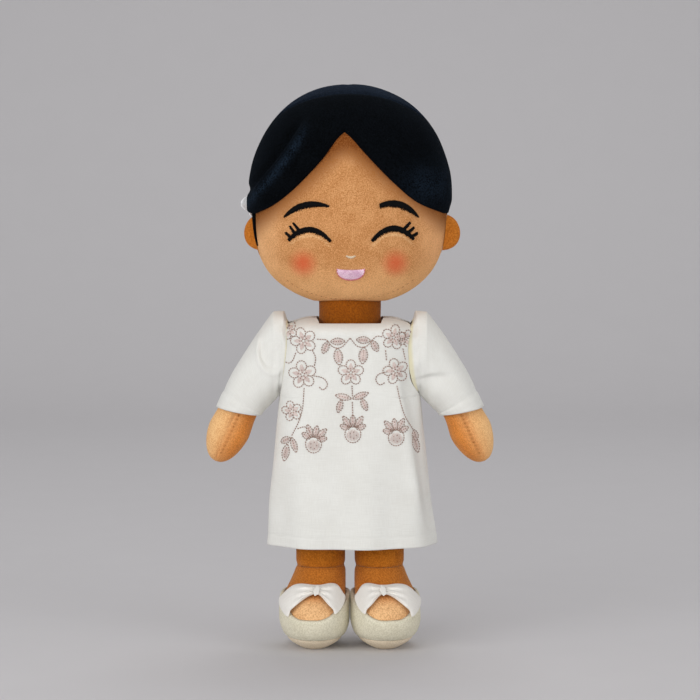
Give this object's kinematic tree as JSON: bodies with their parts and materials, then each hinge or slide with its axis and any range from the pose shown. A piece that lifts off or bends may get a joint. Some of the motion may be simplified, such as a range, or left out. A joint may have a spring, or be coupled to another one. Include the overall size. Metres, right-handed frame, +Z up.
{
  "type": "folk costume doll",
  "caption": "Soft stuffed cloth doll in an embroidered folk dress, standing in bow shoes, with a turning, nodding head and swinging arms and legs.",
  "frame": {"origin": "on the floor under the middle of the doll's box, between the shoes", "axes": "+Z up from the soles to the head, the face looks along -Y, and +X is the doll's own left"},
  "size_m": [0.1542, 0.1012, 0.3],
  "materials": {
    "skin_plush": "short pile plush, matt",
    "stuffing": "loose polyester filling",
    "dress_cotton": "plain woven cotton, matt",
    "closure_tape": "hook and loop tape",
    "hair_plush": "short pile plush, soft sheen",
    "black_thread": "satin stitch",
    "nose_thread": "satin stitch",
    "mouth_thread": "satin stitch",
    "petal_felt": "felt, matt",
    "flower_bead": "covered cotton bead",
    "shoe_plush": "short pile plush, matt",
    "bow_ribbon": "woven ribbon, satin"
  },
  "bodies": {
    "torso": {"torso_skin": "skin_plush", "torso_stuffing": "stuffing", "dress_front": "dress_cotton", "dress_back_left": "dress_cotton", "dress_back_right": "dress_cotton", "closure_loop_tape": "closure_tape", "closure_hook_tape": "closure_tape"},
    "neck": {"neck_skin": "skin_plush", "neck_stuffing": "stuffing"},
    "head": {"face_panel": "skin_plush", "head_back_panel": "skin_plush", "head_stuffing": "stuffing", "ear_left": "skin_plush", "ear_right": "skin_plush", "eye_left": "black_thread", "eye_right": "black_thread", "brow_left": "black_thread", "brow_right": "black_thread", "nose_stitch": "nose_thread", "mouth_patch": "mouth_thread", "hair_front_left": "hair_plush", "hair_front_right": "hair_plush", "hair_back": "hair_plush", "hair_bun": "hair_plush", "flower_petals": "petal_felt", "flower_bead": "flower_bead"},
    "arm_left": {"arm_skin_left": "skin_plush", "arm_stuffing_left": "stuffing", "sleeve_left": "dress_cotton"},
    "leg_left": {"leg_skin_left": "skin_plush", "foot_skin_left": "skin_plush", "leg_stuffing_left": "stuffing", "shoe_upper_left": "shoe_plush", "shoe_sole_left": "shoe_plush", "shoe_bow_left": "bow_ribbon", "bow_knot_left": "bow_ribbon"},
    "arm_right": {"arm_skin_right": "skin_plush", "arm_stuffing_right": "stuffing", "sleeve_right": "dress_cotton"},
    "leg_right": {"leg_skin_right": "skin_plush", "foot_skin_right": "skin_plush", "leg_stuffing_right": "stuffing", "shoe_upper_right": "shoe_plush", "shoe_sole_right": "shoe_plush", "shoe_bow_right": "bow_ribbon", "bow_knot_right": "bow_ribbon"}
  },
  "joints": [
    {"name": "neck_nod", "type": "hinge", "parent": "torso", "child": "neck", "pos_m": [0, -0.01137, 0.1745], "axis": [1, 0, 0], "range_deg": [-12, 15]},
    {"name": "head_turn", "type": "hinge", "parent": "neck", "child": "head", "pos_m": [0, -0.01137, 0.1745], "axis": [0, 0, 1], "range_deg": [-40, 40]},
    {"name": "shoulder_left", "type": "hinge", "parent": "torso", "child": "arm_left", "pos_m": [0.0336, -0.01137, 0.156], "axis": [-1, 0, 0], "range_deg": [-45, 120]},
    {"name": "shoulder_right", "type": "hinge", "parent": "torso", "child": "arm_right", "pos_m": [-0.0336, -0.01137, 0.156], "axis": [-1, 0, 0], "range_deg": [-45, 120]},
    {"name": "hip_left", "type": "hinge", "parent": "torso", "child": "leg_left", "pos_m": [0.0158, -0.01137, 0.098], "axis": [-1, 0, 0], "range_deg": [-18, 18]},
    {"name": "hip_right", "type": "hinge", "parent": "torso", "child": "leg_right", "pos_m": [-0.0158, -0.01137, 0.098], "axis": [-1, 0, 0], "range_deg": [-18, 18]}
  ]
}
